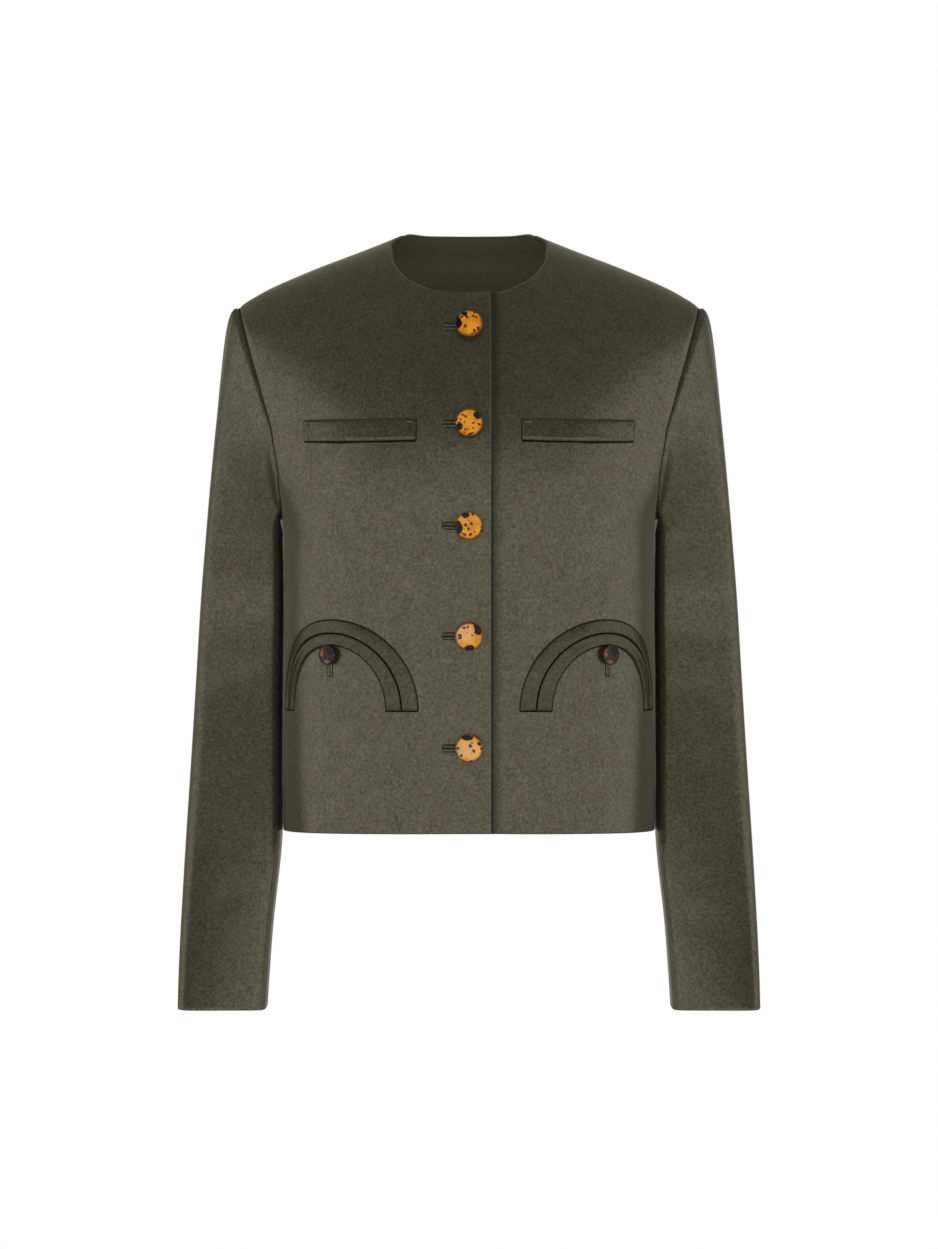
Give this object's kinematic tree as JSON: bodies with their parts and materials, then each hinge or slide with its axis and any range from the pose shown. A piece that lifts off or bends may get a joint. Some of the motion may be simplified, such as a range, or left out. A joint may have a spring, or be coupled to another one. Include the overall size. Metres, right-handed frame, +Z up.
{
  "type": "bolero jacket",
  "caption": "Cropped collarless bolero jacket, buttoned, with long set-in sleeves, straight breast welts and curved half-moon pockets.",
  "frame": {"origin": "middle of the neck opening at the height of the shoulder ridge, where the wearer's neck passes", "axes": "+Z up along the wearer's spine, +X to the wearer's left, the buttoned front faces -Y"},
  "size_m": [0.4984, 0.253, 0.6725],
  "materials": {
    "cloth": "dark olive satin",
    "welt_cloth": "dark olive satin, as the body",
    "button": "polished amber tortoiseshell",
    "pocket_button": "polished dark tortoiseshell"
  },
  "bodies": {
    "root": {"front_right": "cloth", "front_left": "cloth", "back": "cloth", "sleeve_right": "cloth", "sleeve_left": "cloth", "chest_welt_right": "welt_cloth", "pocket_upper_welt_right": "welt_cloth", "pocket_lower_welt_right": "welt_cloth", "pocket_buttonhole_right": "welt_cloth", "chest_welt_left": "welt_cloth", "pocket_upper_welt_left": "welt_cloth", "pocket_lower_welt_left": "welt_cloth", "pocket_buttonhole_left": "welt_cloth", "buttonhole_1": "welt_cloth", "buttonhole_2": "welt_cloth", "buttonhole_3": "welt_cloth", "buttonhole_4": "welt_cloth", "buttonhole_5": "welt_cloth", "button_1": "button", "button_2": "button", "button_3": "button", "button_4": "button", "button_5": "button", "pocket_button_right": "pocket_button", "pocket_button_left": "pocket_button"}
  },
  "joints": []
}
